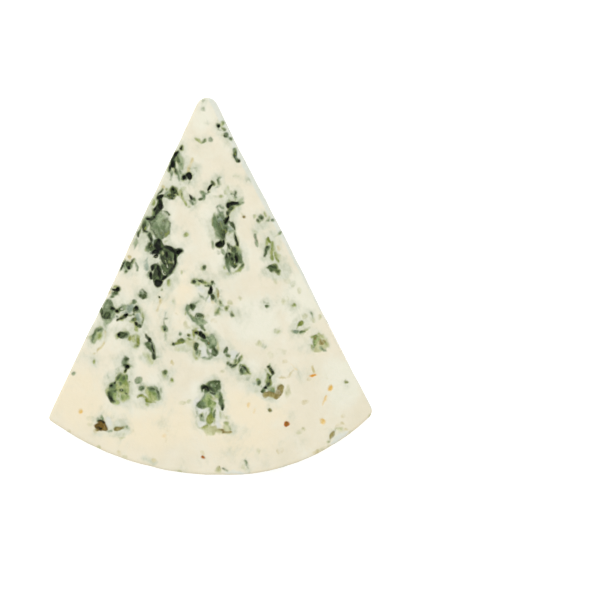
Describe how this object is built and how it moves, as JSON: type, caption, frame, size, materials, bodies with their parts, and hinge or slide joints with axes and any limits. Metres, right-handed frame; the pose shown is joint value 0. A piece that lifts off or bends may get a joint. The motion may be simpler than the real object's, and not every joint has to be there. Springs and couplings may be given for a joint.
{
  "type": "blue cheese wedge",
  "caption": "Flat wedge of blue-veined cheese with a rounded tip, a curved rind and open pockets, lying on a broad cut face.",
  "frame": {"origin": "middle of the footprint's box, on the surface that the wedge lies on", "axes": "+Y from the rind to the tip, +X to the right of the shown face, +Z out of the shown face"},
  "size_m": [0.0684, 0.08, 0.032],
  "materials": {
    "blue_cheese": "moist matte cream paste with blue-green mould veins"
  },
  "bodies": {
    "root": {"cheese_wedge": "blue_cheese"}
  },
  "joints": []
}
